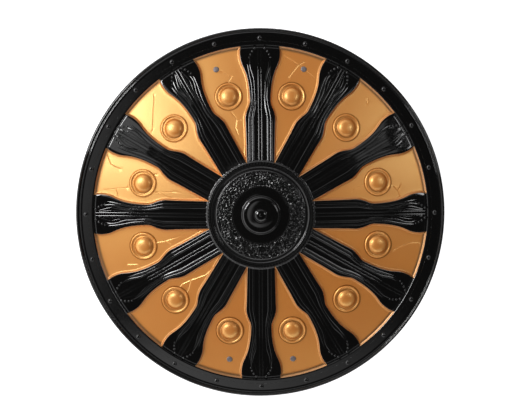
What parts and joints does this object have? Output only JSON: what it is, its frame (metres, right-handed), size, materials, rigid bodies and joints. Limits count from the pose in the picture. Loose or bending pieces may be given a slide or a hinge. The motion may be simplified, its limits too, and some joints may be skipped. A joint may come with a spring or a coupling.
{
  "type": "round costume shield",
  "caption": "Round dished costume shield in thin black plastic, with raised ribs, gold recessed panels with domed studs, a raised hub and loose straps across the back.",
  "frame": {"origin": "middle of the plane that the foot of the rim stands on", "axes": "+Z is the way the shield's face looks, +Y is its upper edge as it is held up, +X is to the right of someone who looks at its face"},
  "size_m": [0.47, 0.47, 0.0559],
  "materials": {
    "black_plastic": "glossy moulded",
    "gold_paint": "metallic gold paint",
    "strap_plastic": "satin, flexible",
    "grey_metal": "satin"
  },
  "bodies": {
    "root": {"shield_shell": "black_plastic", "arm_strap": "strap_plastic", "hand_strap": "strap_plastic", "rivet_arm_left": "grey_metal", "rivet_arm_right": "grey_metal", "rivet_hand_left": "grey_metal", "rivet_hand_right": "grey_metal"}
  },
  "joints": []
}
